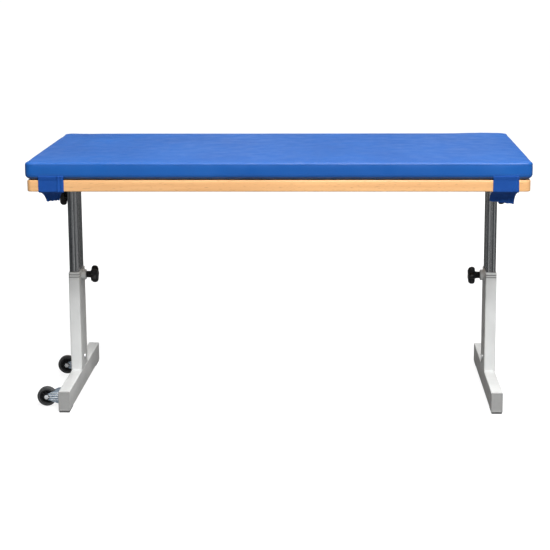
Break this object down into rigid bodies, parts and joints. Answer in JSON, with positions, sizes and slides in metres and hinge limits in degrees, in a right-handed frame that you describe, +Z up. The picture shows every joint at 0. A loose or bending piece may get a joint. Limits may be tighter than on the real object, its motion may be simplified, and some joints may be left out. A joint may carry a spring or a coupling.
{
  "type": "height-adjustable examination table",
  "caption": "Padded examination table on two telescopic single-column legs with long foot tubes, star clamp knobs and transport wheels on one foot.",
  "frame": {"origin": "on the floor, at the centre of the table's outline in plan", "axes": "+X along the table towards the end without wheels, +Y from front to back, +Z up"},
  "size_m": [1.509, 0.74, 0.788],
  "materials": {
    "paint": "light grey powder coat, satin",
    "chrome": "bright chrome plating on drawn steel tube",
    "zinc": "blue-white zinc plating",
    "grey_plastic": "grey moulded end plugs",
    "black_plastic": "black moulded plastic, fine grain",
    "pad_rubber": "dark grey rubber pads",
    "tyre": "dark grey rubber",
    "wood": "clear-lacquered light wood",
    "cushion_cover": "blue artificial leather with a fine grain",
    "strap": "blue woven strap"
  },
  "bodies": {
    "left_base": {"left_foot_tube": "paint", "left_foot_cap_front": "grey_plastic", "left_foot_cap_rear": "grey_plastic", "left_foot_pad_front": "pad_rubber", "left_foot_pad_rear": "pad_rubber", "left_outer_tube": "paint", "left_guide_collar": "paint", "left_height_boss": "paint", "left_base_screw": "zinc", "front_wheel_fork": "zinc", "front_wheel_axle": "zinc", "rear_wheel_fork": "zinc", "rear_wheel_axle": "zinc"},
    "left_height_knob": {"left_height_knob_head": "black_plastic", "left_height_knob_stud": "zinc"},
    "left_column": {"left_inner_tube": "chrome", "left_glide": "black_plastic", "left_top_boss": "paint"},
    "left_top_knob": {"left_top_knob_head": "black_plastic", "left_top_knob_stud": "zinc"},
    "front_wheel": {"front_wheel_tyre": "tyre", "front_wheel_hub": "black_plastic"},
    "rear_wheel": {"rear_wheel_tyre": "tyre", "rear_wheel_hub": "black_plastic"},
    "table_top": {"board": "wood", "cushion": "cushion_cover", "left_strap_front": "strap", "left_strap_rear": "strap", "left_mount_plate": "paint", "left_stub": "zinc", "left_plate_screw_a": "zinc", "left_plate_screw_b": "zinc", "left_plate_screw_c": "zinc", "left_plate_screw_d": "zinc", "right_strap_front": "strap", "right_strap_rear": "strap", "right_mount_plate": "paint", "right_stub": "zinc", "right_plate_screw_a": "zinc", "right_plate_screw_b": "zinc", "right_plate_screw_c": "zinc", "right_plate_screw_d": "zinc"},
    "right_base": {"right_foot_tube": "paint", "right_foot_cap_front": "grey_plastic", "right_foot_cap_rear": "grey_plastic", "right_foot_pad_front": "pad_rubber", "right_foot_pad_rear": "pad_rubber", "right_outer_tube": "paint", "right_guide_collar": "paint", "right_height_boss": "paint", "right_base_screw": "zinc"},
    "right_height_knob": {"right_height_knob_head": "black_plastic", "right_height_knob_stud": "zinc"},
    "right_column": {"right_inner_tube": "chrome", "right_glide": "black_plastic", "right_top_boss": "paint"},
    "right_top_knob": {"right_top_knob_head": "black_plastic", "right_top_knob_stud": "zinc"}
  },
  "joints": [
    {"name": "height", "type": "slide", "parent": "left_base", "child": "left_column", "axis": [0, 0, 1], "range_m": [-0.14, 0.08]},
    {"name": "top_lift", "type": "slide", "parent": "left_column", "child": "table_top", "axis": [0, 0, 1], "range_m": [0, 0.09]},
    {"name": "right_socket_slide", "type": "slide", "parent": "table_top", "child": "right_column", "axis": [0, 0, 1], "range_m": [-0.09, 0]},
    {"name": "right_height", "type": "slide", "parent": "right_column", "child": "right_base", "axis": [0, 0, 1], "range_m": [-0.08, 0.14]},
    {"name": "left_height_knob_turn", "type": "hinge", "parent": "left_base", "child": "left_height_knob", "pos_m": [-0.6055, 0, 0.372], "axis": [1, 0, 0], "range_deg": [0, 360]},
    {"name": "left_top_knob_turn", "type": "hinge", "parent": "left_column", "child": "left_top_knob", "pos_m": [-0.6955, 0, 0.628], "axis": [-1, 0, 0], "range_deg": [0, 360]},
    {"name": "right_height_knob_turn", "type": "hinge", "parent": "right_base", "child": "right_height_knob", "pos_m": [0.6145, 0, 0.372], "axis": [-1, 0, 0], "range_deg": [0, 360]},
    {"name": "right_top_knob_turn", "type": "hinge", "parent": "right_column", "child": "right_top_knob", "pos_m": [0.7045, 0, 0.628], "axis": [1, 0, 0], "range_deg": [0, 360]},
    {"name": "front_wheel_spin", "type": "hinge", "parent": "left_base", "child": "front_wheel", "pos_m": [-0.7245, -0.24, 0.034], "axis": [0, 1, 0], "continuous": true},
    {"name": "rear_wheel_spin", "type": "hinge", "parent": "left_base", "child": "rear_wheel", "pos_m": [-0.7245, 0.14, 0.034], "axis": [0, 1, 0], "continuous": true}
  ],
  "couplings": [
    {"joint": "right_socket_slide", "follows": "top_lift", "ratio": -1},
    {"joint": "right_height", "follows": "height", "ratio": -1}
  ]
}
